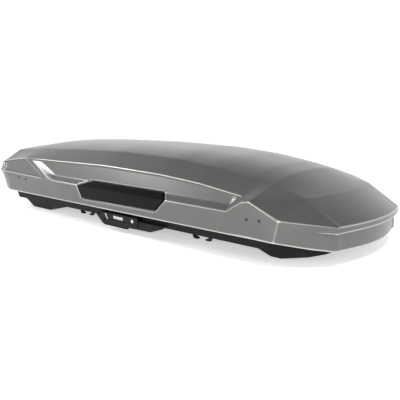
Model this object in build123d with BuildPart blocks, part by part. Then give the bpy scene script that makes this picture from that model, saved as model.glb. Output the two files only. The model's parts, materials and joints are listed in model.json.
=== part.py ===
"""A long roof cargo box that opens from either side, as an assembly of separate pieces.

Frame: +X to the nose, +Y to the car's left, +Z up. The origin is on the floor, midway along the box.
Every length is in millimetres. Heights of the lid's crease lines are counted from the lid's rim.
"""

from build123d import *

import os
from math import atan2, degrees

# ---- Driving dimensions -------------------------------------------------------------------
HALF_LENGTH = 1160
RIM_Z = 110  # underside of the lid's edge
WALL = 3  # thickness of both plastic shells
GAP = 0.3  # clearance between pieces that only stand beside each other
FIT = 0.08  # radial clearance of a pin that turns or slides
SEAT = 0.02  # radial clearance of a pin that is fixed

# Crease lines of the lid's one half as (x, distance from the middle, height over the rim).
RIM_LINE = ((-1160, 410, 62), (-1060, 446, 0), (-1000, 466, 0), (917, 468, 0), (1102, 303, -42),
            (1170, 262, -46))
BELT_LINE = ((-1160, 428, 112), (-1050, 469, 116), (-560, 475, 101), (700, 475, 98), (800, 470, 152),
             (934, 461, 92), (1102, 295, 61), (1170, 262, 26))
LEDGE_LINE = ((-1160, 426, 116), (-1050, 465, 121), (-620, 470, 108), (-482, 447, 128), (650, 447, 114),
              (720, 466, 112), (800, 464, 157), (934, 428, 110), (1102, 291, 64), (1170, 258, 31))
WINDOW_LINE = ((-1160, 418, 148), (-1100, 444, 168), (-860, 437, 204), (-560, 424, 206), (-150, 418, 213),
               (250, 418, 206), (500, 424, 190), (640, 432, 175), (749, 440, 160), (800, 455, 160),
               (953, 297, 153), (1102, 286, 67), (1170, 254, 36))
ROOF_LINE = ((-1160, 330, 160), (-1080, 334, 240), (-860, 322, 250), (-560, 312, 261), (-150, 304, 273),
             (250, 304, 266), (500, 303, 248), (700, 300, 223), (800, 299, 205), (953, 280, 156),
             (1102, 270, 70), (1170, 240, 40))
DOME_LINE = ((-1160, 170, 162), (-1080, 150, 246), (-860, 160, 280), (-560, 180, 294), (-150, 200, 301),
             (250, 200, 297), (500, 195, 279), (700, 185, 254), (800, 175, 230), (970, 150, 160),
             (1102, 140, 84), (1170, 140, 51))
CROWN_LINE = ((-1160, 0, 163), (-1080, 0, 248), (-860, 0, 285), (-560, 0, 300), (-150, 0, 307),
              (250, 0, 305), (500, 0, 290), (700, 0, 266), (800, 0, 242), (978, 0, 160),
              (1102, 0, 90), (1170, 0, 56))
LID_STATIONS = (-1160, -1080, -1050, -980, -860, -620, -482, -150, 250, 500, 640, 720, 800, 870, 934, 960,
                1102, 1170)
LIP_CORNER = (1102, 293)  # plan position of the lip's corner
LIP_UNDERSIDE = RIM_Z + 30
FASCIA_SETBACK = 18  # how far the nose wall lies behind the lip
HOLLOW_REAR_X = -1157
HOLLOW_NOSE = (1102, 1136)
RIM_OPENING = 12  # how far the hollow reaches below the rim line

# Tray
TRAY_TOP = 108
TRAY_FLOOR_Z = 64  # underside of the tray where it lies on the roof bars
TRAY_HALF_WIDTH = 430
TRAY_REAR_X = -980
TRAY_SIDE_FRONT_X = 868
TRAY_CORNER = (1055, 285)
TRAY_NOSE_X = 1094
TRAY_NOSE_HALF = 120
TRAY_TAPER = 12  # degrees
FLANGE_OUT = 10
KEEL_TOP = 72
KEELS = (
    ((-968, -926, -750, -615), 352),  # x of the profile's four corners, half-width at the bottom
    ((655, 800, 850, 1120), 300),
)
KEEL_FLARE = 40  # how much wider a keel is at its top, each side
KEEL_INSET = 9  # how far a keel stays within the tray's plan, as the tray's walls lean in

# Hinge and lock line on each side
AXIS_Y = 445
AXIS_Z = 124
PIN_R = 4
HINGE_PLACES = {"rear": -844, "middle": 50, "front": 821}
END_PLACES = ("rear", "front")
EAR_STARTS = (-34, -12)  # along X from the hinge place, as are the next five
EAR_THICK = 8
CRADLE = (-24, -14)
ARM = (4, 16)
PLATE = (-42, 42)
HOOK = (-64, -52)
PLATE_Y = (457.5, 461.5)
LOCK_TRAVEL = 14
ROD_Y = (414, 419)
ROD_Z = (94, 106)

# Struts: each end's distance inboard of the hinge axis it serves, and its height over that axis
STRUT_FOOT = (120, -32)
LID_STRUT_HEAD = (500, 36)
ARM_STRUT_HEAD = (500, 0)
LID_STRUT_X = 27  # along X from the hinge place
ARM_STRUT_X = -59
STRUT_TUBE = (9, 235)  # radius, length
STRUT_ROD_R = 4
STRUT_ROD_START = 90
EYE_WIDTH = 14

# Roof bar clamps
CLAMP_PLACES = {"rear": -455, "front": 415}
CLAMP_Y = 300
CLAMP_TRAVEL = 50
SLOT_WIDTH = 18
CLAW_PIVOT = (48, 50)  # distance from the clamp's middle, height
CLAW_TIP_Z = 8
RAIL_X = (-605, 610)
RAIL_HALF = 32
RAIL_WALL = 2
RAIL_HEIGHT = 8
RIVET_X = (-590, -345, 305, 590)

# Side handle insert, as the hexagon of (x, height over the rim) seen from the side
HANDLE_OUTLINE = ((-307, 101), (-211, 129), (302, 128), (331, 100), (269, 45), (-277, 39))

# Lock unit under each rim: its outline seen from the side as (x, z), and the release handle's pocket
CASE_OUTLINE = ((-190, 77), (310, 77), (290, 62), (218, 38), (-134, 31))
CASE_Y = (430.5, 450)
PANEL_OUTLINE = ((-150, 92), (131, 92), (131, 43), (-128, 38))
PANEL_Y = 453  # how far out the raised panel stands
POCKET_X = (-122, 58)
RELEASE_AXIS = (447, 54)
RELEASE_PIN_R = 2.5
KEY_R = 8
KEY_PLACE = (95, 73)

SIDES = {"right": -1, "left": 1}
SCREW_R = 2.5
SCREW_HEAD_R = 5
SCREW_SHANK = 14
SIDE_SCREWS = ((-882, 89), (-806, 85), (791, 78), (851, 80))  # x, height over the rim
NOSE_SCREW = (1068, 24)

os.makedirs("parts", exist_ok=True)


def write(part, name):
    """Labels a finished piece and writes it as its own node."""
    part.label = name
    export_step(part, f"parts/{name}.step")


def along(line, x):
    """The crease line's distance from the middle and its height at x."""
    for (x0, y0, z0), (x1, y1, z1) in zip(line, line[1:]):
        if x <= x1:
            break
    t = (x - x0) / (x1 - x0)
    return y0 + t * (y1 - y0), z0 + t * (z1 - z0)


def block(x, y, z, mode=Mode.ADD):
    """Puts a box between the low and high coordinates given as pairs into the piece being made."""
    size = [abs(high - low) for low, high in (x, y, z)]
    with Locations(tuple((low + high) / 2 for low, high in (x, y, z))):
        Box(*size, mode=mode)


def rod_x(x, y, z, radius, mode=Mode.ADD):
    """Puts a round bar along X between the pair of places x into the piece being made."""
    with Locations(((x[0] + x[1]) / 2, y, z)):
        Cylinder(radius, x[1] - x[0], rotation=(0, 90, 0), mode=mode)


def rod_y(x, y, z, radius, mode=Mode.ADD):
    """Puts a round bar along Y between the pair of places y into the piece being made."""
    low, high = sorted(y)
    with Locations((x, (low + high) / 2, z)):
        Cylinder(radius, high - low, rotation=(90, 0, 0), mode=mode)


# ---- Lid shell ----------------------------------------------------------------------------
def lid_half(x, inset=0.0):
    """The lid's half-section at x, from the rim to the crown, as (distance from the middle, z)."""
    lines = (RIM_LINE, BELT_LINE, LEDGE_LINE, WINDOW_LINE, ROOF_LINE, DOME_LINE, CROWN_LINE)
    return [(max(y - inset, 0), RIM_Z + z - inset) for y, z in (along(line, x) for line in lines)]


def lid_loft(stations, inset=0.0, end_shift=0.0, rim_drop=0.0, setback=0.0):
    """A ruled loft through the lid's cross-sections, trimmed to the nose's shallow arc."""
    corner_x = LIP_CORNER[0] - setback
    corner_y = LIP_CORNER[1]
    with BuildPart() as body:
        for x in stations:
            shifted = x - end_shift if x < -900 else x + end_shift if x > 760 else x
            half = lid_half(shifted, inset)
            drop = rim_drop if x > -1056 else -WALL if inset else 0
            half[0] = (half[0][0], half[0][1] + inset - drop)
            with BuildSketch(Plane.YZ.offset(x)):
                with BuildLine():
                    Polyline(*[(-y, z) for y, z in half], *reversed(half[:-1]), close=True)
                make_face()
        loft(ruled=True)
        with BuildSketch():
            with BuildLine():
                ThreePointArc((corner_x, -corner_y), (HALF_LENGTH - setback, 0), (corner_x, corner_y))
                Polyline((corner_x, corner_y), (900, 500), (-1200, 500), (-1200, -500), (900, -500),
                         (corner_x, -corner_y))
            make_face()
        extrude(amount=500, mode=Mode.INTERSECT)
    return body.part


def handle_prism(side, clearance):
    """The side handle's hexagon, carried straight through the box's side."""
    with BuildPart() as prism:
        with BuildSketch(Plane.XZ.offset(-side * 430)):
            with BuildLine():
                Polyline(*[(x, RIM_Z + z) for x, z in HANDLE_OUTLINE], close=True)
            make_face()
            if clearance:
                offset(amount=-clearance, kind=Kind.INTERSECTION)
        extrude(amount=-side * 60)
    return prism.part


def side_wall_y(x, height):
    """How far the lid's side stands from the middle at a height between its rim and its beltline."""
    rim_y, rim_z = along(RIM_LINE, x)
    belt_y, belt_z = along(BELT_LINE, x)
    return rim_y + (belt_y - rim_y) * (height - rim_z) / (belt_z - rim_z)


def lid_point(x, inboard, height):
    """A place on the lid given by x, distance inboard of the hinge axis and height over it, right side."""
    return Vector(x, inboard - AXIS_Y, AXIS_Z + height)


nose_z = RIM_Z + along(CROWN_LINE, NOSE_SCREW[0])[1]
nose_drop = along(CROWN_LINE, 978)[1] - along(CROWN_LINE, LIP_CORNER[0])[1]
nose_tilt = degrees(atan2(nose_drop, LIP_CORNER[0] - 978))
nose_places = [
    Location((NOSE_SCREW[0], s * NOSE_SCREW[1], nose_z), (0, nose_tilt, 0)) for s in SIDES.values()
]
side_places = [
    Location((x, s * side_wall_y(x, height), RIM_Z + height), (-90 * s, 0, 0))
    for s in SIDES.values()
    for x, height in SIDE_SCREWS
]

lid_outer = lid_loft(LID_STATIONS)
hollow_stations = [HOLLOW_REAR_X, *[x for x in LID_STATIONS if HOLLOW_REAR_X + 10 < x < 1050], *HOLLOW_NOSE]
lid_hollow = lid_loft(hollow_stations, WALL, 4 * WALL, RIM_OPENING, FASCIA_SETBACK + WALL)
behind_lip = lid_loft((980, 1102, 1170), setback=FASCIA_SETBACK)
with BuildPart() as lip_undercut:
    block((1020, 1200), (-330, 330), (0, LIP_UNDERSIDE))
    add(behind_lip, mode=Mode.SUBTRACT)
handle_prisms = [handle_prism(side, 0) for side in SIDES.values()]
with BuildPart() as lid_shell:
    add(lid_outer)
    add(lip_undercut.part, mode=Mode.SUBTRACT)
    add(lid_hollow, mode=Mode.SUBTRACT)
    add(handle_prisms, mode=Mode.SUBTRACT)
    with Locations(*nose_places, *side_places):
        Cylinder(SCREW_R + GAP, 60, mode=Mode.SUBTRACT)
write(lid_shell.part, "lid_shell")

for side_name, side in SIDES.items():
    with BuildPart() as handle_insert:
        with BuildSketch(Plane.YZ.offset(-400)):
            with BuildLine():
                Polyline((side * 456, 140), (side * 471, 140), (side * 476.5, 211), (side * 446, 242),
                         (side * 433, 232), (side * 456, 206), close=True)
            make_face()
        extrude(amount=800)
        add(handle_prism(side, GAP), mode=Mode.INTERSECT)
    write(handle_insert.part, f"handle_insert_{side_name}")

with BuildPart() as lid_screws:
    with Locations(*nose_places, *side_places):
        with Locations((0, 0, 2 * GAP)):
            Cylinder(SCREW_HEAD_R, 2, align=(Align.CENTER, Align.CENTER, Align.MIN))
        with Locations((0, 0, 1)):
            Cylinder(SCREW_R, SCREW_SHANK, align=(Align.CENTER, Align.CENTER, Align.MAX))
write(lid_screws.part, "lid_screws")

# Brackets that carry the lid on the hinge pins. The right ones are saddles that lift off their pins.
for side_name, side in SIDES.items():
    with BuildPart() as brackets:
        for place, x in HINGE_PLACES.items():
            plate_top = 205 if place in END_PLACES else 146
            for start in EAR_STARTS:
                with BuildSketch(Plane.YZ.offset(x + start)):
                    with Locations((side * AXIS_Y, AXIS_Z)):
                        Circle(10)
                    with BuildLine():
                        Polyline((side * 438, 131), (side * 460, 146), (side * 460, 116), (side * 447, 115),
                                 close=True)
                    make_face()
                    hole = PIN_R + GAP if side < 0 else PIN_R + FIT if place in END_PLACES else PIN_R + SEAT
                    with Locations((side * AXIS_Y, AXIS_Z)):
                        Circle(hole, mode=Mode.SUBTRACT)
                        if side < 0:
                            Rectangle(2 * hole, 15, align=(Align.CENTER, Align.MAX), mode=Mode.SUBTRACT)
                extrude(amount=EAR_THICK)
            block((x + PLATE[0], x + PLATE[1]), [side * y for y in PLATE_Y], (116, plate_top))
            catch_x = (x + HOOK[0] + LOCK_TRAVEL, x + PLATE[0] + 8)
            block(catch_x, (side * 449, side * PLATE_Y[1]), (132, 139))
        with Locations(*side_places):
            Cylinder(SCREW_R + GAP, 60, mode=Mode.SUBTRACT)
    write(brackets.part, f"lid_brackets_{side_name}")

for place in END_PLACES:
    x = HINGE_PLACES[place]
    head = lid_point(x, *LID_STRUT_HEAD)
    with BuildPart() as lid_beam:
        block((x - 20, x - 8), (-457, 457), (150, 172))
        rod_x((x - 10, x + 17), -head.Y, head.Z, PIN_R)
    write(lid_beam.part, f"lid_beam_{place}")

with BuildPart() as lid_pin_middle:
    rod_x((HINGE_PLACES["middle"] + EAR_STARTS[0], HINGE_PLACES["middle"] - 4), AXIS_Y, AXIS_Z, PIN_R)
write(lid_pin_middle.part, "lid_pin_middle")

with BuildPart() as roof_beams:
    for x in (-600, 0, 480):
        outside = lid_half(x, WALL + 6)[3:]
        inside = lid_half(x, WALL + 18)[3:]
        with BuildSketch(Plane.YZ.offset(x)):
            with BuildLine():
                Polyline(*[(-y, z) for y, z in outside], *reversed(outside[:-1]), *inside[:-1],
                         *[(-y, z) for y, z in reversed(inside)], close=True)
            make_face()
        extrude(amount=26)
write(roof_beams.part, "roof_beams")

# ---- Lifter arms between the two hinge lines ------------------------------------------------
for place in END_PLACES:
    x = HINGE_PLACES[place]
    foot = lid_point(x, *STRUT_FOOT)
    head = lid_point(x, *ARM_STRUT_HEAD)
    with BuildPart() as arm:
        with BuildSketch(Plane.YZ.offset(x + ARM[0])):
            with Locations((0, AXIS_Z)):
                Rectangle(2 * AXIS_Y, 22)
            with Locations((-AXIS_Y, AXIS_Z), (AXIS_Y, AXIS_Z)):
                Circle(11)
            with BuildLine():
                Polyline((-foot.Y - 30, AXIS_Z - 8), (-foot.Y + 30, AXIS_Z - 8), (-foot.Y + 11, foot.Z - 8),
                         (-foot.Y - 11, foot.Z - 8), close=True)
            make_face()
            with Locations((-AXIS_Y, AXIS_Z)):
                Circle(PIN_R + FIT, mode=Mode.SUBTRACT)
            with Locations((AXIS_Y, AXIS_Z)):
                Circle(PIN_R + SEAT, mode=Mode.SUBTRACT)
        extrude(amount=ARM[1] - ARM[0])
        rod_x((x + ARM[1] - 4, x + LID_STRUT_X + 9), -foot.Y, foot.Z, PIN_R)
        rod_x((x + ARM_STRUT_X + EYE_WIDTH / 2 + 1, x + ARM[0] + 4), head.Y, head.Z, PIN_R)
    write(arm.part, f"lifter_arm_{place}")

with BuildPart() as hinge_pins_left:
    for place in END_PLACES:
        x = HINGE_PLACES[place]
        rod_x((x + EAR_STARTS[0] - 2, x + ARM[1]), AXIS_Y, AXIS_Z, PIN_R)
write(hinge_pins_left.part, "hinge_pins_left")


def strut(place, carried_by):
    """Tube and rod of one telescopic strut at rest; the arm's strut serves the right hinge axis."""
    head_uv = LID_STRUT_HEAD if carried_by == "lid" else ARM_STRUT_HEAD
    along_x = HINGE_PLACES[place] + (LID_STRUT_X if carried_by == "lid" else ARM_STRUT_X)
    mirror_y = -1 if carried_by == "lid" else 1
    foot = lid_point(along_x, *STRUT_FOOT)
    head = lid_point(along_x, *head_uv)
    length = (head - foot).length
    line = Plane(
        origin=(along_x, mirror_y * foot.Y, foot.Z),
        x_dir=(1, 0, 0),
        z_dir=(0, mirror_y * (head.Y - foot.Y), head.Z - foot.Z),
    )
    tube_r, tube_length = STRUT_TUBE
    with BuildPart() as tube:
        with BuildSketch(line.offset(8)):
            Circle(tube_r)
        extrude(amount=tube_length - 8)
        with Locations(line):
            Cylinder(12, EYE_WIDTH, rotation=(0, 90, 0))
            Cylinder(PIN_R + FIT, EYE_WIDTH, rotation=(0, 90, 0), mode=Mode.SUBTRACT)
        with BuildSketch(line.offset(30)):
            Circle(STRUT_ROD_R + FIT)
        extrude(amount=tube_length, mode=Mode.SUBTRACT)
    write(tube.part, f"{carried_by}_strut_tube_{place}")
    with BuildPart() as rod:
        with BuildSketch(line.offset(STRUT_ROD_START)):
            Circle(STRUT_ROD_R)
        extrude(amount=length - STRUT_ROD_START - 6)
        with Locations(line.offset(length)):
            Cylinder(9, EYE_WIDTH, rotation=(0, 90, 0))
            Cylinder(PIN_R + GAP, EYE_WIDTH, rotation=(0, 90, 0), mode=Mode.SUBTRACT)
    write(rod.part, f"{carried_by}_strut_rod_{place}")


for place in END_PLACES:
    strut(place, "lid")
    strut(place, "arm")


# ---- Tray ---------------------------------------------------------------------------------
def tray_outline(grow):
    """The tray's plan, grown outward."""
    with BuildSketch() as plan:
        with BuildLine():
            Polyline((TRAY_REAR_X, -TRAY_HALF_WIDTH), (TRAY_SIDE_FRONT_X, -TRAY_HALF_WIDTH),
                     (TRAY_CORNER[0], -TRAY_CORNER[1]), (TRAY_NOSE_X, -TRAY_NOSE_HALF),
                     (TRAY_NOSE_X, TRAY_NOSE_HALF), TRAY_CORNER,
                     (TRAY_SIDE_FRONT_X, TRAY_HALF_WIDTH), (TRAY_REAR_X, TRAY_HALF_WIDTH), close=True)
        make_face()
        if grow:
            offset(amount=grow, kind=Kind.INTERSECTION)
    return plan.sketch


def keel(corners, half_width, inset, plan):
    """One flat-bottomed keel that narrows downward, kept within a plan; inset makes the space inside it."""
    rear_top, rear_low, front_low, front_top = corners
    high = KEEL_TOP
    low = inset
    with BuildPart() as body:
        with BuildSketch(Plane.XZ.offset(-TRAY_HALF_WIDTH)):
            with BuildLine():
                Polyline((rear_top + inset, high), (rear_low + inset, low), (front_low - inset, low),
                         (front_top - inset, high), close=True)
            make_face()
        extrude(amount=2 * TRAY_HALF_WIDTH)
        with BuildSketch(Plane.YZ.offset(rear_top)):
            with BuildLine():
                Polyline((-half_width - KEEL_FLARE + inset, high), (-half_width + inset, low),
                         (half_width - inset, low), (half_width + KEEL_FLARE - inset, high), close=True)
            make_face()
        extrude(amount=front_top - rear_top, mode=Mode.INTERSECT)
        with BuildSketch():
            add(plan)
        extrude(amount=high, mode=Mode.INTERSECT)
    return body.part


outline = tray_outline(0)
floor_outline = tray_outline(-KEEL_INSET)
hollow_outline = tray_outline(-KEEL_INSET - WALL)
inner_outline = tray_outline(-WALL)
flange_outline = tray_outline(FLANGE_OUT)
keels = [keel(*place, 0, floor_outline) for place in KEELS]
keel_hollows = [keel(*place, WALL, hollow_outline) for place in KEELS]
with BuildPart() as base_tray:
    with BuildSketch(Plane.XY.offset(TRAY_TOP)):
        add(outline)
    extrude(amount=-(TRAY_TOP - TRAY_FLOOR_Z), taper=TRAY_TAPER)
    with BuildSketch(Plane.XY.offset(TRAY_TOP)):
        add(flange_outline)
    extrude(amount=-WALL)
    add(keels)
    with BuildSketch(Plane.XY.offset(TRAY_TOP)):
        add(inner_outline)
    extrude(amount=-(TRAY_TOP - TRAY_FLOOR_Z - WALL), taper=TRAY_TAPER, mode=Mode.SUBTRACT)
    add(keel_hollows, mode=Mode.SUBTRACT)
    with BuildSketch(Plane.XY.offset(TRAY_FLOOR_Z - 1)):
        with Locations(*[(x, s * CLAMP_Y) for x in CLAMP_PLACES.values() for s in SIDES.values()]):
            SlotOverall(2 * CLAMP_TRAVEL + 50, SLOT_WIDTH)
    extrude(amount=10, mode=Mode.SUBTRACT)
write(base_tray.part, "base_tray")

rail_low = TRAY_FLOOR_Z + WALL
for side_name, side in SIDES.items():
    with BuildPart() as rail:
        outer_y = (side * (CLAMP_Y - RAIL_HALF), side * (CLAMP_Y + RAIL_HALF))
        inner_y = (side * (CLAMP_Y - RAIL_HALF + RAIL_WALL), side * (CLAMP_Y + RAIL_HALF - RAIL_WALL))
        block(RAIL_X, outer_y, (rail_low, rail_low + RAIL_HEIGHT))
        block((RAIL_X[0] - 1, RAIL_X[1] + 1), inner_y, (rail_low + RAIL_WALL, rail_low + RAIL_HEIGHT + 1),
              mode=Mode.SUBTRACT)
        with BuildSketch(Plane.XY.offset(rail_low)):
            with Locations(*[(x, side * CLAMP_Y) for x in CLAMP_PLACES.values()]):
                SlotOverall(2 * CLAMP_TRAVEL + 50, SLOT_WIDTH)
        extrude(amount=3, mode=Mode.SUBTRACT)
    write(rail.part, f"reinforcement_rail_{side_name}")

with BuildPart() as rail_rivets:
    with Locations(*[(x, s * CLAMP_Y, rail_low + RAIL_WALL) for x in RIVET_X for s in SIDES.values()]):
        Cylinder(7, 2.5, align=(Align.CENTER, Align.CENTER, Align.MIN))
write(rail_rivets.part, "rail_rivets")

# ---- Hinge cradles, pins and strut brackets on the tray ---------------------------------------
for side_name, side in SIDES.items():
    with BuildPart() as cradles:
        for x in HINGE_PLACES.values():
            hole = PIN_R + SEAT if side < 0 else PIN_R + GAP
            with BuildSketch(Plane.YZ.offset(x + CRADLE[0])):
                with Locations((side * AXIS_Y, AXIS_Z)):
                    Circle(9)
                with BuildLine():
                    Polyline((side * 452, 119), (side * 441, TRAY_TOP + 3), (side * 441, TRAY_TOP),
                             (side * 424, TRAY_TOP), (side * 424, TRAY_TOP + 3), (side * 440, 131),
                             close=True)
                make_face()
                with Locations((side * AXIS_Y, AXIS_Z)):
                    Circle(hole, mode=Mode.SUBTRACT)
                    if side > 0:
                        Rectangle(2 * hole, 15, align=(Align.CENTER, Align.MIN), mode=Mode.SUBTRACT)
            extrude(amount=CRADLE[1] - CRADLE[0])
            block((x + CRADLE[0], x + CRADLE[1] + 26), (side * 424, side * 432), (TRAY_TOP, TRAY_TOP + 3))
    write(cradles.part, f"hinge_cradles_{side_name}")

with BuildPart() as hinge_pins_right:
    for place, x in HINGE_PLACES.items():
        end = ARM[1] if place in END_PLACES else -4
        rod_x((x + EAR_STARTS[0], x + end), -AXIS_Y, AXIS_Z, PIN_R)
write(hinge_pins_right.part, "hinge_pins_right")

with BuildPart() as strut_base_brackets:
    for place in END_PLACES:
        x = HINGE_PLACES[place]
        foot = lid_point(x, *STRUT_FOOT)
        with BuildSketch(Plane.YZ.offset(x - 48)):
            with BuildLine():
                Polyline((-418, 74), (foot.Y + 12, 74), (foot.Y + 12, 104), (foot.Y - 12, 104),
                         (foot.Y - 30, 90), (-421, 90), close=True)
            make_face()
        extrude(amount=6)
        block((x - 48, x - 22), (-418, -414), (74, 90))
        rod_x((x + ARM_STRUT_X - EYE_WIDTH / 2 - 2, x - 46), foot.Y, foot.Z, PIN_R)
write(strut_base_brackets.part, "strut_base_brackets")

# ---- Lock unit on each side -------------------------------------------------------------------
for side_name, side in SIDES.items():
    release_y, release_z = RELEASE_AXIS
    key_x, key_z = KEY_PLACE
    with BuildPart() as lock_case:
        with BuildSketch(Plane.XZ.offset(-side * CASE_Y[0])):
            with BuildLine():
                Polyline(*CASE_OUTLINE, close=True)
            make_face()
        extrude(amount=-side * (CASE_Y[1] - CASE_Y[0]))
        with BuildSketch(Plane.XZ.offset(-side * CASE_Y[0])):
            with BuildLine():
                Polyline(*PANEL_OUTLINE, close=True)
            make_face()
        extrude(amount=-side * (PANEL_Y - CASE_Y[0]))
        block((POCKET_X[0] + 5, 180), (side * 400, side * CASE_Y[1]), (38, TRAY_FLOOR_Z - GAP))
        block(POCKET_X, (side * 439, side * 460), (20, release_z + 6), mode=Mode.SUBTRACT)
        pivot_x = (POCKET_X[0] - 8, POCKET_X[1] + 8)
        rod_x(pivot_x, side * release_y, release_z, RELEASE_PIN_R + FIT, mode=Mode.SUBTRACT)
        rod_y(key_x, (side * 436, side * 460), key_z, KEY_R + FIT, mode=Mode.SUBTRACT)
    write(lock_case.part, f"lock_case_{side_name}")

    with BuildPart() as key_cylinder:
        rod_y(key_x, (side * (436 + GAP), side * (PANEL_Y + 1)), key_z, KEY_R)
        keyway_z = (key_z - 4.5, key_z + 4.5)
        block((key_x - 1, key_x + 1), (side * 449, side * (PANEL_Y + 2)), keyway_z, mode=Mode.SUBTRACT)
    write(key_cylinder.part, f"key_cylinder_{side_name}")

    low, high = POCKET_X[0] + 1, POCKET_X[1] - 1
    with BuildPart() as release_handle:
        rod_x((low, high), side * release_y, release_z, 4.5)
        block((low, high), (side * 444, side * 451), (30, release_z))
        block((low, high), (side * 441, side * 453.5), (27, 31))
        rod_x((low - 6, high + 6), side * release_y, release_z, RELEASE_PIN_R)
    write(release_handle.part, f"release_handle_{side_name}")

    with BuildPart() as lock_rod:
        rod_y_pair = [side * y for y in ROD_Y]
        block((-930, 800), rod_y_pair, ROD_Z)
        for x in HINGE_PLACES.values():
            hook_x = (x + HOOK[0], x + HOOK[1])
            block(hook_x, rod_y_pair, (ROD_Z[0], 144))
            block(hook_x, (side * ROD_Y[0], side * 456), (140, 144))
    write(lock_rod.part, f"lock_rod_{side_name}")


# ---- Roof bar clamps ----------------------------------------------------------------------------
def clamp(name, x, y):
    """One clamp: a carriage in the tray's slot, a knob with its bolt, and two claws under the tray."""
    rail_top = rail_low + RAIL_WALL + GAP
    under_tray = TRAY_FLOOR_Z - GAP
    pivot_x, pivot_z = CLAW_PIVOT
    with BuildPart() as carriage:
        with BuildSketch(Plane.XY.offset(rail_top)):
            with Locations((x, y)):
                RectangleRounded(72, 50, 12)
        extrude(amount=24, taper=6)
        with BuildSketch(Plane.XY.offset(pivot_z)):
            with Locations((x, y)):
                Rectangle(44, SLOT_WIDTH - 2 * GAP)
        extrude(amount=rail_top - pivot_z)
        block((x - pivot_x - 8, x + pivot_x + 8), (y - 17, y + 17), (pivot_z - 5, under_tray))
        for end in (-1, 1):
            claw_room_x = (x + end * (pivot_x - 9), x + end * (pivot_x + 12))
            block(claw_room_x, (y - 8, y + 8), (pivot_z - 20, under_tray), mode=Mode.SUBTRACT)
            rod_y(x + end * pivot_x, (y - 17, y + 17), pivot_z, 3)
        with Locations((x, y, 0)):
            Cylinder(PIN_R + FIT, 300, mode=Mode.SUBTRACT)
    write(carriage.part, f"clamp_carriage_{name}")

    knob_z = rail_top + 24 + GAP
    with BuildPart() as knob:
        with BuildSketch(Plane.XY.offset(knob_z)):
            with Locations((x, y)):
                Circle(25)
                with PolarLocations(27, 8):
                    Circle(5, mode=Mode.SUBTRACT)
        extrude(amount=24, taper=4)
        with Locations((x, y, knob_z + 1)):
            Cylinder(PIN_R, knob_z - pivot_z + 4, align=(Align.CENTER, Align.CENTER, Align.MAX))
    write(knob.part, f"clamp_knob_{name}")

    for end_name, end in (("rear", -1), ("front", 1)):
        with BuildPart() as claw:
            with BuildSketch(Plane.XZ.offset(-y - 7.5)):
                with BuildLine():
                    Polyline((x + end * (pivot_x - 7), pivot_z), (x + end * (pivot_x + 7), pivot_z),
                             (x + end * (pivot_x + 9), 22), (x + end * (pivot_x + 2), CLAW_TIP_Z),
                             (x + end * (pivot_x - 24), CLAW_TIP_Z),
                             (x + end * (pivot_x - 24), CLAW_TIP_Z + 7),
                             (x + end * (pivot_x - 6), 20), close=True)
                make_face()
                with Locations((x + end * pivot_x, pivot_z)):
                    Circle(7)
                    Circle(3 + FIT, mode=Mode.SUBTRACT)
            extrude(amount=15)
        write(claw.part, f"clamp_claw_{end_name}_{name}")


for side_name, side in SIDES.items():
    for place, x in CLAMP_PLACES.items():
        clamp(f"{place}_{side_name}", x, side * CLAMP_Y)
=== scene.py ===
"""Looks for the roof cargo box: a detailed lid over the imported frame, materials, floor, light and camera.

Frame: metres, +X to the nose, +Y to the car's left, +Z up, the floor at z = 0.
Heights of the lid's crease lines are counted from the lid's rim.
"""

import json

import bpy
import numpy as np
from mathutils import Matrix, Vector


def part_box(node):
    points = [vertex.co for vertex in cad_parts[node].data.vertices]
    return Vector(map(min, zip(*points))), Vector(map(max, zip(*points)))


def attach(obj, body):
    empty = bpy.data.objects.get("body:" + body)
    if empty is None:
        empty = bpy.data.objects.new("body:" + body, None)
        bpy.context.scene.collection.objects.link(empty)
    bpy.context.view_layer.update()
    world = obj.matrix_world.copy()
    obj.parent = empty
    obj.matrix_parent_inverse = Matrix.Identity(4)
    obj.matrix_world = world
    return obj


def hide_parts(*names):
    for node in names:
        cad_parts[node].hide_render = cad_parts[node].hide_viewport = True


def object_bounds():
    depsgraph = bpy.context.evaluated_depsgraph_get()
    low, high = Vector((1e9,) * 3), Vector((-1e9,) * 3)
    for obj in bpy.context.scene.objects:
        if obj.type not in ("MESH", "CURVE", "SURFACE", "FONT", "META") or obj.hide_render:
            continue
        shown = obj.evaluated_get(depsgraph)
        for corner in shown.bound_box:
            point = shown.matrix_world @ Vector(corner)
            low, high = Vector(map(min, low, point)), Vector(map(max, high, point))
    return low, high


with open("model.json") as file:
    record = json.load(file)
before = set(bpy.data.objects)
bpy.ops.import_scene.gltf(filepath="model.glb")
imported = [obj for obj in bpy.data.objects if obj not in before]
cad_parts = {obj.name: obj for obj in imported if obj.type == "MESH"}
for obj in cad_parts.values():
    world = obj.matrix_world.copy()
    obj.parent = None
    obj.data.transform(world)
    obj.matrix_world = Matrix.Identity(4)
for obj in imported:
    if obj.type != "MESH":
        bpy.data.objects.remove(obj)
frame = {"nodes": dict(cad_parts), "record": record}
cad_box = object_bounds()

RIM_Z = 0.110  # underside of the lid's edge
SHELL = 0.003  # thickness of the lid's plastic

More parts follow.
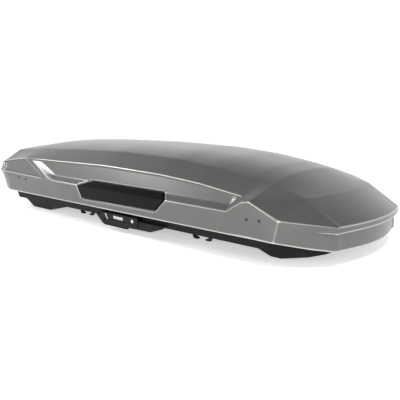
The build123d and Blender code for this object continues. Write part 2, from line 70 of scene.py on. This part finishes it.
# Crease lines of the lid's one half as (x, distance from the middle, height over the rim).
RIM_LINE = ((-1.160, 0.395, 0.088), (-1.148, 0.410, 0.062), (-1.060, 0.446, 0.003), (-1.000, 0.466, 0.0),
            (0.917, 0.468, 0.0), (1.102, 0.303, -0.042))
BELT_LINE = ((-1.160, 0.415, 0.108), (-1.140, 0.440, 0.114), (-1.050, 0.468, 0.116), (-0.560, 0.475, 0.103),
             (0.690, 0.475, 0.098), (0.767, 0.472, 0.146), (0.800, 0.470, 0.152), (0.934, 0.461, 0.090),
             (1.102, 0.293, 0.061))
WINDOW_LINE = ((-1.160, 0.408, 0.132), (-1.098, 0.440, 0.168), (-0.859, 0.437, 0.204), (-0.550, 0.424, 0.206),
               (-0.150, 0.418, 0.213), (0.250, 0.418, 0.204), (0.500, 0.424, 0.188), (0.640, 0.432, 0.172),
               (0.749, 0.440, 0.160), (0.800, 0.455, 0.158), (0.953, 0.297, 0.153), (1.102, 0.286, 0.063))
ROOF_LINE = ((-1.160, 0.330, 0.142), (-1.080, 0.334, 0.232), (-0.860, 0.322, 0.250), (-0.560, 0.312, 0.264),
             (-0.150, 0.304, 0.277), (0.250, 0.304, 0.269), (0.500, 0.303, 0.248), (0.700, 0.300, 0.219),
             (0.800, 0.299, 0.200), (0.953, 0.280, 0.157), (1.102, 0.270, 0.064))
CROWN_LINE = ((-1.160, 0.0, 0.146), (-1.130, 0.0, 0.215), (-1.080, 0.0, 0.250), (-0.860, 0.0, 0.284),
              (-0.560, 0.0, 0.298), (-0.150, 0.0, 0.306), (0.250, 0.0, 0.302), (0.500, 0.0, 0.285),
              (0.700, 0.0, 0.256), (0.800, 0.0, 0.234), (0.995, 0.0, 0.157), (1.160, 0.0, 0.063))
LEDGE = (0.028, 0.026)  # how far the window panel's foot lies inboard of the beltline, and over it
WINDOW_HEAD = (0.008, 0.07)  # how far the panel's top is set in, and the share of its height that takes
KINKS = (0.917, 0.934, 0.953, 0.953, 0.995)  # x of the corner crease on the five lines
WINDOW_END_Y = 0.286  # where the window crease and the roof crease meet the lip, from the middle
ROOF_END_Y = 0.270
LIP_CORNER = (1.102, 0.293)  # x and distance from the middle
LIP_TIP_X = 1.1565
LIP_HEIGHT = 0.031
LIP_STEP = 0.006  # height over which the wall steps back under the lip
STEP_START_X = 1.015  # where the step begins on the side wall
SIDE_NORMAL = np.array((0.668, 0.744))  # plan direction that the wall between corner and lip faces
FASCIA_SETBACK = 0.024  # how far the wall under the lip stands back in the middle of the nose
CORNER_SETBACK = 0.75  # share of that at the lip's corners
FASCIA_FOOT_Z = -0.046
FASCIA_SPREAD = 0.010  # how much further out the wall's foot stands at the corners
TURN_WIDTH = 0.06  # distance over which the wall turns from the side's direction to the nose's
# Places of the rows between rim and beltline, closer together where the wall steps back.
LOWER_SHARES = np.concatenate([
    np.linspace(0, 0.64, 12),
    (0.67, 0.685, 0.70, 0.715, 0.735),
    np.linspace(0.77, 1, 7),
])

# Features drawn on the lid's side as (x, height over the rim)
WINDOW_REAR = ((-0.552, 0.099), (-0.790, 0.197))
WINDOW_REAR_WIDTH = 0.088
WINDOW_FRONT = ((0.701, 0.100), (0.760, 0.155))
WINDOW_FRONT_WIDTH = 0.022
QUARTER = ((-1.098, 0.168), (-1.048, 0.114), (-0.623, 0.108), (-0.859, 0.204))
QUARTER_BEVELS = (0.012, 0.009, 0.014, 0.010)
QUARTER_DEPTH = 0.011
HANDLE = ((-0.307, 0.101), (-0.211, 0.129), (0.302, 0.128), (0.331, 0.100), (0.269, 0.045), (-0.277, 0.039))
HANDLE_DEPTH = 0.010
HANDLE_MARGIN = 0.006  # how far the recess reaches beyond the handle's outline
HANDLE_BEVEL = 0.005

# The closed rear end
REAR_SHARES = (0.985, 0.93, 0.6, 0.2, -0.2, -0.6, -0.93, -0.985)  # its columns across the box
REAR_INSET = 0.0005  # how far its inner columns stay inside the CAD's rear end
CHIN_FRONT_X = -1.10  # how far forward the sloped chin under the rear wall reaches

# Marks on the lock's panel as (x, z from the floor)
INDEX_MARK = [(-0.112, 0.085), (-0.103, 0.085), (-0.088, 0.060), (-0.094, 0.058)]
LABEL_PLATE = [(-0.044, 0.082), (0.026, 0.080), (0.026, 0.066), (-0.044, 0.068)]
MARK_RINGS = ((0.0002, 0.0), (0.0008, 0.0), (0.0012, -0.0006))  # distance off the panel, and growth

# Looks
HIGHLIGHT_POINTINESS = (0.512, 0.560)  # pointiness range over which the painted highlight fades in, from a flat surface's value towards a sharp convex edge's
COAT_ROUGHNESS = 0.06
CLOUD_SCALE = 9.0
BUMP_DISTANCE = 0.0006
EDGE_WIDTH = 0.0012  # rounding of the CAD pieces' edges
EDGE_ANGLE = 0.6
FLOOR_SIZE = 30.0
FLOOR_GLOW = 0.50

# World strength from the horizon's value to the ceiling's, between two heights on the unit sphere
CEILING = {"From Min": 0.25, "From Max": 0.85, "To Min": 1.26, "To Max": 0.20}

# Lights: name, place, target, size, power
LIGHTS = (
    ("crease", (-2.6, -1.9, 2.0), (0.1, -0.4, 0.25), 0.45, 26),
    ("side", (-0.5, -3.9, 0.8), (0.5, -0.4, 0.15), 0.6, 26),
    ("nose", (4.6, -0.6, 1.5), (0.9, 0, 0.2), 1.6, 30),
    ("edges", (2.4, -1.3, 3.3), (1.0, -0.3, 0.2), 0.45, 46),
)

LENS = 49.57
CAMERA_PLACE = (2.0596, -2.2003, 0.5589 + RIM_Z)
CAMERA_TARGET = (0.1361, 0, 0.0104 + RIM_Z)


# ---- Mesh helpers -------------------------------------------------------------------------
def new_piece(name, vertices, faces, body, material, smooth=True):
    """A mesh piece that rides on a body and wears a material."""
    mesh = bpy.data.meshes.new(name)
    mesh.from_pydata([tuple(v) for v in vertices], [], faces)
    mesh.validate()
    mesh.polygons.foreach_set("use_smooth", [smooth] * len(mesh.polygons))
    piece = bpy.data.objects.new(name, mesh)
    bpy.context.scene.collection.objects.link(piece)
    mesh.materials.append(material)
    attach(piece, body)
    return piece


def grid_faces(rows, columns):
    """Quads of a grid whose vertices run row by row."""
    index = np.arange(rows * columns).reshape(rows, columns)
    corners = index[:-1, :-1], index[:-1, 1:], index[1:, 1:], index[1:, :-1]
    return np.stack([c.ravel() for c in corners], axis=1).tolist()


# ---- Lid ----------------------------------------------------------------------------------
def soft_line(line, x, reach=0.045):
    """Distance from the middle and height of a crease line at x, softened where the lid is one long curve."""
    xs, ys, zs = np.array(line).T
    calm = np.clip((0.62 - x) / 0.10, 0, 1) * np.clip((x + 1.02) / 0.10, 0, 1)
    total = 0
    for step in np.linspace(-1, 1, 9):
        at = x + step * reach * calm
        total = total + np.stack([np.interp(at, xs, ys), np.interp(at, xs, zs)])
    return total / 9


def inside_depth(x, z, corners, bevels):
    """0 outside a convex outline and 1 well inside it, ramping over each edge's own bevel width."""
    depth = np.ones_like(x)
    centre = np.mean(corners, axis=0)
    for (x0, z0), (x1, z1), bevel in zip(corners, corners[1:] + corners[:1], bevels):
        normal = np.array((z0 - z1, x1 - x0)) / np.hypot(x1 - x0, z1 - z0)
        normal *= np.sign(normal @ (centre - (x0, z0)))
        distance = (x - x0) * normal[0] + (z - z0) * normal[1]
        depth = np.minimum(depth, np.clip(distance / bevel, 0, 1))
    return depth


def window_share(x, z):
    """1 on the recessed window panel and 0 beyond its two slanted ends."""
    (x0, z0), (x1, z1) = WINDOW_REAR
    rear = (x - np.interp(z, (z0, z1), (x0, x1))) / WINDOW_REAR_WIDTH
    (x0, z0), (x1, z1) = WINDOW_FRONT
    front = (np.interp(z, (z0, z1), (x0, x1)) - x) / WINDOW_FRONT_WIDTH
    return np.clip(rear, 0, 1) * np.clip(front, 0, 1)


def smooth_share(t):
    """0 to 1 with a soft start and a soft end."""
    t = np.clip(t, 0, 1)
    return t * t * (3 - 2 * t)


def step_share(depth):
    """0 on the lip's face and 1 on the wall set back under it, by depth below the lip's edge."""
    return np.clip((depth - LIP_HEIGHT + LIP_STEP / 2) / LIP_STEP, 0, 1)


def lip_x(y):
    """x of the lip's edge at a distance from the middle."""
    return LIP_TIP_X - (LIP_TIP_X - LIP_CORNER[0]) * (y / LIP_CORNER[1]) ** 2


def column_places(kink, end):
    """x of every column on one crease line: the long run, the corner and the nose."""
    return np.concatenate([
        np.linspace(-1.160, -1.06, 30)[:-1],
        np.linspace(-1.06, 0.70, 400)[:-1],
        np.linspace(0.70, 0.80, 28)[:-1],
        np.linspace(0.80, kink, 34)[:-1],
        np.linspace(kink, end, 44),
    ])


def lid_half():
    """Points of the lid's right half and the beltline's row; rows run from rim to crown, rear to nose."""
    lines = (RIM_LINE, BELT_LINE, WINDOW_LINE, ROOF_LINE, CROWN_LINE)
    ends = [LIP_CORNER[0], LIP_CORNER[0], lip_x(WINDOW_END_Y), lip_x(ROOF_END_Y), LIP_TIP_X]
    rails = []
    for line, kink, end in zip(lines, KINKS, ends):
        x = column_places(kink, end)
        y, z = soft_line(line, x)
        rails.append(np.stack([x, y, z]))
    rim, belt, window, roof, crown = rails

    def between(low, high, shares):
        return [low + (high - low) * t for t in shares]

    rows = between(rim, belt, LOWER_SHARES)
    belt_row = len(rows) - 1
    grow = CORNER_SETBACK * smooth_share((rim[0] - STEP_START_X) / (LIP_CORNER[0] - STEP_START_X))
    for t, row in zip(LOWER_SHARES, rows):
        back = FASCIA_SETBACK * grow * step_share((1 - t) * (belt[2] - rim[2]))
        row[0] -= SIDE_NORMAL[0] * back
        row[1] -= SIDE_NORMAL[1] * back
    # The window panel stands inboard of the straight line between beltline and window crease.
    ledge_in, ledge_up = LEDGE
    share = ledge_up / np.maximum(window[2] - belt[2], ledge_up + 1e-4)
    for t in np.concatenate([np.linspace(0, 0.90, 24)[1:], (0.93, 0.955, 0.98, 1.0)]):
        plain = belt + (window - belt) * t
        ledge = belt + (window - belt) * share
        ledge[1] = belt[1] - ledge_in
        panel = np.where(
            t < share,
            belt + (ledge - belt) * t / share,
            ledge + (window - ledge) * (t - share) / np.maximum(1 - share, 1e-4),
        )
        height = np.clip((t - share) / (1 - share), 0, 1)
        panel[1] -= WINDOW_HEAD[0] * height * smooth_share((1 - t) / WINDOW_HEAD[1])
        rows.append(plain + (panel - plain) * window_share(plain[0], plain[2]))
    window_row = len(rows) - 1
    rows += between(window, roof, np.linspace(0, 1, 21)[1:])
    for t in np.linspace(0, 1, 30)[1:]:
        row = roof + (crown - roof) * t
        rise = 1 - (1 - t) ** 2.6
        flat = np.clip((crown[0] - KINKS[4] + 0.05) / 0.05, 0, 1)
        row[2] = roof[2] + (crown[2] - roof[2]) * (rise + (t * (2 - t) - rise) * flat)
        bulge = 2 * t - t**2
        row[0] = roof[0] + (crown[0] - roof[0]) * bulge
        rows.append(row)
    points = np.stack(rows)
    side = slice(0, window_row + 1)
    x, z = points[side, 0], points[side, 2]
    points[side, 1] -= QUARTER_DEPTH * inside_depth(x, z, QUARTER, QUARTER_BEVELS)
    recess = inside_depth(x, z, grown(HANDLE, HANDLE_MARGIN), [HANDLE_BEVEL] * len(HANDLE))
    points[side, 1] -= HANDLE_DEPTH * recess
    return points, belt_row


def grown(corners, amount):
    """A convex outline moved outward from its centre, edge by edge."""
    result = []
    count = len(corners)
    centre = np.mean(corners, axis=0)
    for i, corner in enumerate(corners):
        normals = []
        for a, b in ((corners[i - 1], corner), (corner, corners[(i + 1) % count])):
            normal = np.array((a[1] - b[1], b[0] - a[0])) / np.hypot(b[0] - a[0], b[1] - a[1])
            normals.append(normal * np.sign(normal @ (np.array(a) - centre)))
        push = np.linalg.solve(np.array(normals), (amount, amount))
        result.append(tuple(np.array(corner) + push))
    return result


def make_lid(material):
    """The lid's outside, with its recessed panels, corner facets, nose lip, rear wall and rear chin."""
    half, belt_row = lid_half()
    rows = half.shape[0]
    columns = half.shape[2]
    right = np.stack([half[:, 0], -half[:, 1], half[:, 2] + RIM_Z], axis=-1)
    left = right[::-1][1:] * (1, -1, 1)
    skin = np.concatenate([right, left])
    vertices = [tuple(p) for p in skin.reshape(-1, 3)]
    faces = grid_faces(2 * rows - 1, columns)

    # Rear wall: straight runs from the right side's end to the left side's, welded to the crown.
    crown_row = rows - 1
    wall = [[row * columns for row in range(rows)]]
    for share in REAR_SHARES:
        column = []
        for x, y, z in skin[:crown_row, 0]:
            column.append(len(vertices))
            vertices.append((max(x, cad_box[0][0] + REAR_INSET), y * share, z))
        wall.append(column + [crown_row * columns])
    wall.append([(2 * crown_row - row) * columns for row in range(rows)])
    for near, far in zip(wall, wall[1:]):
        for i in range(crown_row - 1):
            faces.append((near[i], near[i + 1], far[i + 1], far[i]))
        faces.append((near[crown_row - 1], crown_row * columns, far[crown_row - 1]))

    # Sloped chin that closes the lid below the rear wall, where the rim rises towards the rear.
    chin_end = int(np.searchsorted(skin[0, :, 0], CHIN_FRONT_X))
    chin = [list(range(chin_end + 1))]
    for share, column in zip(REAR_SHARES, wall[1:-1]):
        start = len(vertices)
        vertices += [(x, y * share, z) for x, y, z in skin[0, 1:chin_end + 1]]
        chin.append([column[0], *range(start, start + chin_end)])
    chin.append([2 * crown_row * columns + column for column in range(chin_end + 1)])
    for near, far in zip(chin, chin[1:]):
        for i in range(chin_end):
            faces.append((near[i + 1], near[i], far[i], far[i + 1]))

    # The wall under the lip carries the side walls' lower rows on around the nose.
    last_row = 2 * crown_row
    band = [[row * columns + columns - 1 for row in range(belt_row + 1)]]
    for row in range(belt_row + 1, last_row - belt_row):
        x, y, z = skin[row, -1]
        widen = y / LIP_CORNER[1]
        foot_z = RIM_Z + FASCIA_FOOT_Z + (RIM_LINE[-1][2] - FASCIA_FOOT_Z) * widen**2
        curve = np.array((1.0, 2 * (LIP_TIP_X - LIP_CORNER[0]) * widen / LIP_CORNER[1]))
        turn = smooth_share((LIP_CORNER[1] - abs(y)) / TURN_WIDTH)
        facing = SIDE_NORMAL * (1, np.sign(y)) * (1 - turn) + curve / np.linalg.norm(curve) * turn
        setback = FASCIA_SETBACK * (CORNER_SETBACK + (1 - CORNER_SETBACK) * turn)
        column = []
        for t in LOWER_SHARES[:-1]:
            back = setback * step_share((1 - t) * (z - foot_z))
            column.append(len(vertices))
            spread = FASCIA_SPREAD * widen * (1 - t)
            height = foot_z + (z - foot_z) * t
            vertices.append((x - facing[0] * back, y + spread - facing[1] * back, height))
        band.append(column + [row * columns + columns - 1])
    band.append([(last_row - row) * columns + columns - 1 for row in range(belt_row + 1)])
    for near, far in zip(band, band[1:]):
        for i in range(belt_row):
            faces.append((near[i], far[i], far[i + 1], near[i + 1]))
    lid = new_piece("lid_skin", vertices, faces, "lid", material)
    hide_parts("lid_shell")
    calm = lid.modifiers.new("soft creases", "CORRECTIVE_SMOOTH")
    calm.iterations = 1
    calm.use_only_smooth = True
    solid = lid.modifiers.new("plastic", "SOLIDIFY")
    solid.thickness = SHELL
    solid.offset = -1


def make_lock_marks(material):
    """A slanted index mark and a blank label plate, raised a little from each lock's panel."""
    face_y = abs(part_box("lock_case_right")[0][1])
    for side_name, side in (("right", -1), ("left", 1)):
        for name, outline in (("index_mark", INDEX_MARK), ("label_plate", LABEL_PLATE)):
            rings = []
            for out, grow in MARK_RINGS:
                rings += [(x, side * (face_y + out), z) for x, z in grown(outline, grow)]
            count = len(outline)
            faces = [tuple(range(count))[::-1], tuple(range(2 * count, 3 * count))]
            for start in (0, count):
                for i in range(count):
                    after = (i + 1) % count
                    faces.append((start + i, start + after, start + count + after, start + count + i))
            if side > 0:
                faces = [face[::-1] for face in faces]
            new_piece(f"{name}_{side_name}", rings, faces, "base", material, smooth=False)


# ---- Materials ----------------------------------------------------------------------------
def plain_material(name, color, roughness, grain, bump, metallic=0.0, spread=0.04, coat=0.0, specular=0.5,
                   edge=None):
    """Moulded plastic or metal: faint mottling, uneven roughness, a fine bump and, if given, a painted
    highlight: paler base colour along convex edges.
    """
    material = bpy.data.materials.new(name)
    material.use_nodes = True
    nodes, links = material.node_tree.nodes, material.node_tree.links
    shader = nodes["Principled BSDF"]
    shader.inputs["Metallic"].default_value = metallic
    shader.inputs["Specular IOR Level"].default_value = specular
    shader.inputs["Coat Weight"].default_value = coat
    shader.inputs["Coat Roughness"].default_value = COAT_ROUGHNESS
    place = nodes.new("ShaderNodeTexCoord")
    cloud = nodes.new("ShaderNodeTexNoise")
    cloud.inputs["Scale"].default_value = CLOUD_SCALE
    cloud.inputs["Detail"].default_value = 4.0
    fine = nodes.new("ShaderNodeTexNoise")
    fine.inputs["Scale"].default_value = grain
    fine.inputs["Detail"].default_value = 2.0
    links.new(place.outputs["Object"], cloud.inputs["Vector"])
    links.new(place.outputs["Object"], fine.inputs["Vector"])
    ramp = nodes.new("ShaderNodeValToRGB")
    ramp.color_ramp.elements[0].position = 0.3
    ramp.color_ramp.elements[1].position = 0.7
    ramp.color_ramp.elements[0].color = (*[c * (1 - spread) for c in color], 1)
    ramp.color_ramp.elements[1].color = (*[c * (1 + spread) for c in color], 1)
    links.new(cloud.outputs["Fac"], ramp.inputs["Fac"])
    links.new(ramp.outputs["Color"], shader.inputs["Base Color"])
    # Painted highlight: the base colour turns towards the given edge colour along sharp convex creases, in
    # place of light caught by rounded edges.
    if edge:
        surface = nodes.new("ShaderNodeNewGeometry")
        highlight_mask = nodes.new("ShaderNodeMapRange")
        highlight_mask.inputs["From Min"].default_value = HIGHLIGHT_POINTINESS[0]
        highlight_mask.inputs["From Max"].default_value = HIGHLIGHT_POINTINESS[1]
        pale = nodes.new("ShaderNodeMix")
        pale.data_type = "RGBA"
        pale.inputs["B"].default_value = (*edge, 1)
        links.new(surface.outputs["Pointiness"], highlight_mask.inputs["Value"])
        links.new(highlight_mask.outputs["Result"], pale.inputs["Factor"])
        links.new(ramp.outputs["Color"], pale.inputs["A"])
        links.new(pale.outputs["Result"], shader.inputs["Base Color"])
    rough = nodes.new("ShaderNodeMapRange")
    rough.inputs["To Min"].default_value = roughness * 0.85
    rough.inputs["To Max"].default_value = roughness * 1.15
    links.new(fine.outputs["Fac"], rough.inputs["Value"])
    links.new(rough.outputs["Result"], shader.inputs["Roughness"])
    bumps = nodes.new("ShaderNodeBump")
    bumps.inputs["Strength"].default_value = bump
    bumps.inputs["Distance"].default_value = BUMP_DISTANCE
    links.new(fine.outputs["Fac"], bumps.inputs["Height"])
    links.new(bumps.outputs["Normal"], shader.inputs["Normal"])
    return material


# Colour, roughness, grain and bump of each slot, then what it has of its own
LOOKS = {
    # The titan shell's edge colour is a painted highlight along its convex creases.
    "titan_shell": ((0.125, 0.124, 0.120), 0.30, 900, 0.02,
                    {"metallic": 0.45, "coat": 0.08, "edge": (0.62, 0.62, 0.60)}),
    "gloss_black": ((0.004, 0.004, 0.005), 0.13, 60, 0.01, {"specular": 0.10}),
    "tray_black": ((0.010, 0.010, 0.011), 0.55, 700, 0.25, {"specular": 0.12}),
    "black_trim": ((0.009, 0.009, 0.010), 0.42, 800, 0.15, {"specular": 0.15}),
    "clamp_plastic": ((0.012, 0.012, 0.013), 0.5, 600, 0.2, {"specular": 0.15}),
    "claw_steel": ((0.010, 0.010, 0.011), 0.45, 500, 0.2, {"specular": 0.2}),
    "key_metal": ((0.80, 0.79, 0.77), 0.22, 900, 0.02, {"metallic": 1.0}),
    "strut_black": ((0.012, 0.012, 0.013), 0.3, 500, 0.05, {}),
    "bright_steel": ((0.6, 0.6, 0.61), 0.22, 900, 0.02, {"metallic": 1.0}),
    "screw_black": ((0.02, 0.02, 0.021), 0.35, 700, 0.05, {"specular": 0.3}),
    "rivet_aluminium": ((0.65, 0.65, 0.66), 0.35, 600, 0.05, {"metallic": 1.0}),
    "beam_aluminium": ((0.55, 0.55, 0.56), 0.4, 500, 0.08, {"metallic": 1.0}),
    "zinc_steel": ((0.5, 0.51, 0.52), 0.38, 40, 0.05, {"metallic": 1.0, "spread": 0.12}),
}
MATERIALS = {name: plain_material(name, *look, **own) for name, (*look, own) in LOOKS.items()}


def dress_nodes():
    """Gives every CAD node that shows its slot's material, and softens its sharp edges."""
    slots = {part["node"]: part["material_slot"] for part in frame["record"]["subparts"]}
    for name, node in frame["nodes"].items():
        for holder in node.material_slots:
            holder.material = MATERIALS[slots[name]]
        if not node.material_slots:
            node.data.materials.append(MATERIALS[slots[name]])
        edge = node.modifiers.new("edges", "BEVEL")
        edge.width = EDGE_WIDTH
        edge.segments = 2
        edge.limit_method = "ANGLE"
        edge.angle_limit = EDGE_ANGLE


# ---- Stage, light and camera ------------------------------------------------------------------
def make_stage():
    """A large plain pale floor that glows a little, so that it stays as white as the background."""
    mesh = bpy.data.meshes.new("floor")
    corners = [(x * FLOOR_SIZE, y * FLOOR_SIZE, 0) for x, y in ((-1, -1), (1, -1), (1, 1), (-1, 1))]
    mesh.from_pydata(corners, [], [(0, 1, 2, 3)])
    floor = bpy.data.objects.new("floor", mesh)
    bpy.context.scene.collection.objects.link(floor)
    material = plain_material("floor", (0.97, 0.97, 0.97), 0.9, 3, 0.0, spread=0.005, specular=0.0)
    shader = material.node_tree.nodes["Principled BSDF"]
    shader.inputs["Emission Color"].default_value = (1, 1, 1, 1)
    shader.inputs["Emission Strength"].default_value = FLOOR_GLOW
    mesh.materials.append(material)


def area_light(name, place, target, size, power):
    """A soft square light aimed at a target."""
    light = bpy.data.lights.new(name, "AREA")
    light.size = size
    light.energy = power
    holder = bpy.data.objects.new(name, light)
    holder.location = place
    holder.rotation_euler = (Vector(target) - Vector(place)).to_track_quat("-Z", "Y").to_euler()
    bpy.context.scene.collection.objects.link(holder)


def make_light():
    """Soft studio light: white all round under a darker ceiling, with lights that catch the creases."""
    world = bpy.data.worlds.new("studio")
    bpy.context.scene.world = world
    world.use_nodes = True
    nodes, links = world.node_tree.nodes, world.node_tree.links
    background = nodes["Background"]
    background.inputs["Color"].default_value = (1, 1, 1, 1)
    place = nodes.new("ShaderNodeTexCoord")
    parts = nodes.new("ShaderNodeSeparateXYZ")
    ceiling = nodes.new("ShaderNodeMapRange")
    links.new(place.outputs["Generated"], parts.inputs["Vector"])
    links.new(parts.outputs["Z"], ceiling.inputs["Value"])
    for name, value in CEILING.items():
        ceiling.inputs[name].default_value = value
    links.new(ceiling.outputs["Result"], background.inputs["Strength"])
    for light in LIGHTS:
        area_light(*light)


def make_camera():
    """The camera looks at the nose and right side from a little above."""
    data = bpy.data.cameras.new("camera")
    data.sensor_width = 36
    data.lens = LENS
    camera = bpy.data.objects.new("camera", data)
    camera.location = CAMERA_PLACE
    camera.rotation_euler = (Vector(CAMERA_TARGET) - Vector(CAMERA_PLACE)).to_track_quat("-Z", "Y").to_euler()
    bpy.context.scene.collection.objects.link(camera)
    bpy.context.scene.camera = camera


make_camera()
make_light()
make_stage()
dress_nodes()
make_lid(MATERIALS["titan_shell"])
make_lock_marks(MATERIALS["zinc_steel"])
bpy.context.scene.view_settings.view_transform = "Standard"
